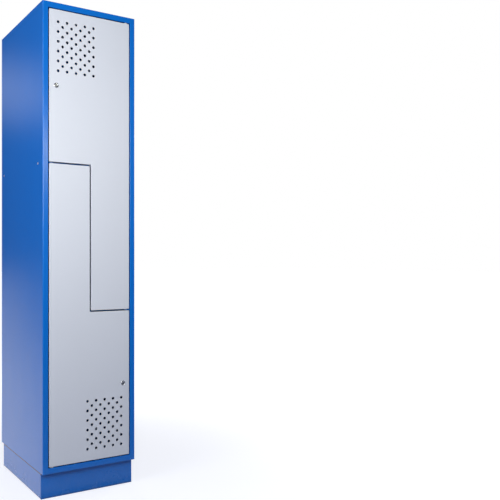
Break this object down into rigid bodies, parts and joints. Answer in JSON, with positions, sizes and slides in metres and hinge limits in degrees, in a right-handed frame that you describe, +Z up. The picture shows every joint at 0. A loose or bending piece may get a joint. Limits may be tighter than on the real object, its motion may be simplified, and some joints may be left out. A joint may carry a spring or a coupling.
{
  "type": "z locker",
  "caption": "Tall steel locker on a plinth, with interlocking L-shaped doors that make a Z, round vent holes, cam locks, clothes rods and sliding coat hooks.",
  "frame": {"origin": "on the floor, under the middle of the body", "axes": "+X to the right seen from the front, the doors face -Y, +Z up"},
  "size_m": [0.4028, 0.5025, 1.9],
  "materials": {
    "blue_powder_coat": "satin powder coat with a fine orange peel",
    "grey_powder_coat": "satin powder coat with a fine orange peel",
    "zinc_plated_steel": "bright zinc plating",
    "chromed_zinc": "polished chrome",
    "nickel_plug": "satin nickel",
    "bright_tube": "polished chrome",
    "aluminium_rivet": "bare",
    "white_nylon": "moulded",
    "black_rubber": "matt",
    "black_plastic": "moulded, fine grain",
    "hook_steel": "bright zinc plating"
  },
  "bodies": {
    "root": {"back_panel": "blue_powder_coat", "centre_divider": "blue_powder_coat", "divider_channel": "blue_powder_coat", "floor_panel": "blue_powder_coat", "header_pivot": "zinc_plated_steel", "left_side_panel": "blue_powder_coat", "lower_bracket_pin": "zinc_plated_steel", "lower_hinge_bracket": "blue_powder_coat", "lower_rod": "bright_tube", "lower_rod_sockets": "black_plastic", "lower_shelf": "blue_powder_coat", "partition_rivets": "aluminium_rivet", "plinth_back": "blue_powder_coat", "plinth_bolts": "zinc_plated_steel", "plinth_front": "blue_powder_coat", "plinth_left": "blue_powder_coat", "plinth_nuts": "zinc_plated_steel", "plinth_right": "blue_powder_coat", "right_side_panel": "blue_powder_coat", "roof_panel": "blue_powder_coat", "sill_pivot": "zinc_plated_steel", "upper_bracket_pin": "zinc_plated_steel", "upper_hinge_bracket": "blue_powder_coat", "upper_rod": "bright_tube", "upper_rod_sockets": "black_plastic", "upper_shelf": "blue_powder_coat"},
    "upper_door": {"upper_door_panel": "grey_powder_coat", "upper_door_stiffener": "grey_powder_coat", "upper_door_bushes": "white_nylon", "upper_door_buffers": "black_rubber", "upper_lock_housing": "chromed_zinc", "upper_lock_nut": "zinc_plated_steel"},
    "lower_door": {"lower_door_panel": "grey_powder_coat", "lower_door_stiffener": "grey_powder_coat", "lower_door_bushes": "white_nylon", "lower_door_buffers": "black_rubber", "lower_lock_housing": "chromed_zinc", "lower_lock_nut": "zinc_plated_steel"},
    "upper_lock": {"upper_lock_plug": "nickel_plug", "upper_lock_cam": "zinc_plated_steel", "upper_cam_screw": "zinc_plated_steel"},
    "lower_lock": {"lower_lock_plug": "nickel_plug", "lower_lock_cam": "zinc_plated_steel", "lower_cam_screw": "zinc_plated_steel"},
    "upper_left_hook": {"upper_hook_left": "hook_steel"},
    "upper_right_hook": {"upper_hook_right": "hook_steel"},
    "lower_left_hook": {"lower_hook_left": "hook_steel"},
    "lower_right_hook": {"lower_hook_right": "hook_steel"}
  },
  "joints": [
    {"name": "upper_door_hinge", "type": "hinge", "parent": "root", "child": "upper_door", "pos_m": [0.161, -0.242, 1.3], "axis": [0, 0, 1], "range_deg": [0, 110]},
    {"name": "lower_door_hinge", "type": "hinge", "parent": "root", "child": "lower_door", "pos_m": [-0.161, -0.242, 0.7], "axis": [0, 0, -1], "range_deg": [0, 110]},
    {"name": "upper_lock_turn", "type": "hinge", "parent": "upper_door", "child": "upper_lock", "pos_m": [-0.1455, -0.24, 1.583], "axis": [0, 1, 0], "range_deg": [0, 90]},
    {"name": "lower_lock_turn", "type": "hinge", "parent": "lower_door", "child": "lower_lock", "pos_m": [0.1455, -0.24, 0.417], "axis": [0, 1, 0], "range_deg": [0, 90]},
    {"name": "upper_left_hook_slide", "type": "slide", "parent": "root", "child": "upper_left_hook", "axis": [1, 0, 0], "range_m": [-0.118, 0.123]},
    {"name": "upper_right_hook_slide", "type": "slide", "parent": "root", "child": "upper_right_hook", "axis": [1, 0, 0], "range_m": [-0.123, 0.118]},
    {"name": "lower_left_hook_slide", "type": "slide", "parent": "root", "child": "lower_left_hook", "axis": [1, 0, 0], "range_m": [-0.051, 0.057]},
    {"name": "lower_right_hook_slide", "type": "slide", "parent": "root", "child": "lower_right_hook", "axis": [1, 0, 0], "range_m": [-0.057, 0.051]}
  ]
}
